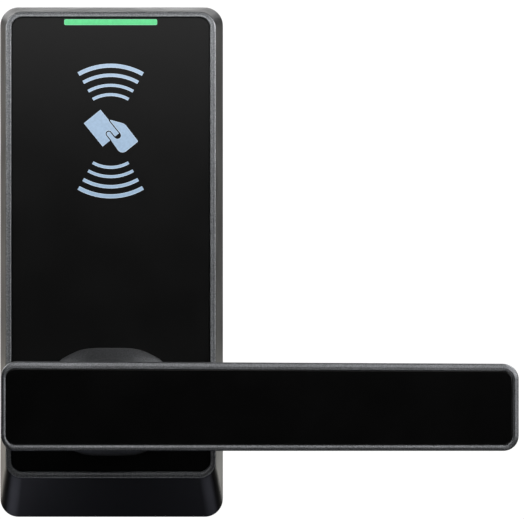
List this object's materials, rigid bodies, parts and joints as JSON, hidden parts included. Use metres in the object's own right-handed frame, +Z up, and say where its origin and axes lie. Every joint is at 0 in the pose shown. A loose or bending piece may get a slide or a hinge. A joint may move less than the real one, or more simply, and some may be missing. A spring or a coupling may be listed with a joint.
{
  "type": "card-reader lever door lock, exterior unit",
  "caption": "Electronic lever lock for a door: drafted housing with a black card-reader panel, lit symbol and status bar, wide inlaid lever, clutched square spindle and threaded mounting posts.",
  "frame": {"origin": "spindle axis where it crosses the door face, which is the back of the gasket", "axes": "+Z up, +X to the right seen from outside the door, +Y through the door along the spindle, and the front faces -Y"},
  "size_m": [0.1672, 0.118, 0.1655],
  "materials": {
    "housing_paint": "satin powder coat with a fine metallic sparkle",
    "rim_paint": "fine metallic lacquer, satin",
    "lever_paint": "fine metallic lacquer, satin",
    "panel_black": "polished black dead-front panel",
    "tape": "foam adhesive tape",
    "symbol_light": "translucent pale blue, lit from behind",
    "status_light": "translucent green, lit from behind",
    "white_plastic": "moulded light guide",
    "circuit_board": "solder mask",
    "copper": "copper track",
    "led_lens": "clear lens",
    "chip_black": "moulded component",
    "connector": "moulded nylon",
    "zinc_steel": "zinc plated",
    "bronze": "sintered bronze",
    "dark_plastic": "moulded plastic",
    "fork_plastic": "acetal",
    "motor_steel": "nickel plated",
    "shaft_steel": "turned steel",
    "spring_steel": "drawn spring wire",
    "insert_black": "polished black inlay",
    "rubber": "matt rubber"
  },
  "bodies": {
    "escutcheon": {"housing": "housing_paint", "bezel": "rim_paint", "front_panel": "panel_black", "panel_tape": "tape", "symbol_windows": "symbol_light", "status_window": "status_light", "light_box": "white_plastic", "status_light_guide": "white_plastic", "reader_board": "circuit_board", "antenna_coil": "copper", "symbol_leds": "led_lens", "status_leds": "led_lens", "board_chips": "chip_black", "buzzer": "chip_black", "harness_header": "connector", "motor_header": "connector", "board_screws": "zinc_steel", "shaft_bushing": "bronze", "stop_pins": "shaft_steel", "mechanism_frame": "dark_plastic", "mechanism_cover": "zinc_steel", "mechanism_screws": "zinc_steel", "clutch_motor": "motor_steel", "back_plate": "zinc_steel", "back_plate_screws": "zinc_steel", "mounting_posts": "zinc_steel", "top_post": "zinc_steel", "rear_bushing": "bronze", "cable_grommet": "rubber", "door_gasket": "rubber"},
    "lever": {"lever_handle": "lever_paint", "insert_adhesive": "tape", "lever_insert": "insert_black", "lever_set_screw": "spring_steel", "drive_shaft": "shaft_steel", "thrust_washer": "bronze", "stop_disc": "shaft_steel", "disc_key": "shaft_steel", "disc_clip": "spring_steel", "return_spring": "spring_steel"},
    "output_spindle": {"spindle_hub": "shaft_steel", "spindle": "shaft_steel", "hub_clip": "spring_steel"},
    "clutch_ring_body": {"clutch_ring": "shaft_steel", "clutch_spring": "spring_steel"},
    "shift_fork_body": {"shift_fork": "fork_plastic"},
    "motor_screw_body": {"motor_screw": "shaft_steel"}
  },
  "joints": [
    {"name": "lever_turn", "type": "hinge", "parent": "escutcheon", "child": "lever", "pos_m": [0, 0, 0], "axis": [0, 1, 0], "range_deg": [0, 55], "stiffness_Nm_per_rad": 0.5, "springref_deg": -45.84, "deforming": ["return_spring"]},
    {"name": "spindle_turn", "type": "hinge", "parent": "escutcheon", "child": "output_spindle", "pos_m": [0, 0, 0], "axis": [0, 1, 0], "range_deg": [0, 55]},
    {"name": "fork_slide", "type": "slide", "parent": "escutcheon", "child": "shift_fork_body", "axis": [0, 0, 1], "range_m": [0, 0.0048]},
    {"name": "screw_turn", "type": "hinge", "parent": "escutcheon", "child": "motor_screw_body", "pos_m": [0, -0.0102, 0.03], "axis": [0, 0, 1], "range_deg": [0, 720.5]},
    {"name": "clutch_slide", "type": "slide", "parent": "lever", "child": "clutch_ring_body", "axis": [0, -1, 0], "range_m": [0, 0.00241], "deforming": ["clutch_spring"]}
  ],
  "couplings": [
    {"joint": "spindle_turn", "follows": "lever_turn", "ratio": 1},
    {"joint": "screw_turn", "follows": "fork_slide", "rad_per_m": 2618},
    {"joint": "clutch_slide", "follows": "fork_slide", "ratio": 0.5}
  ]
}
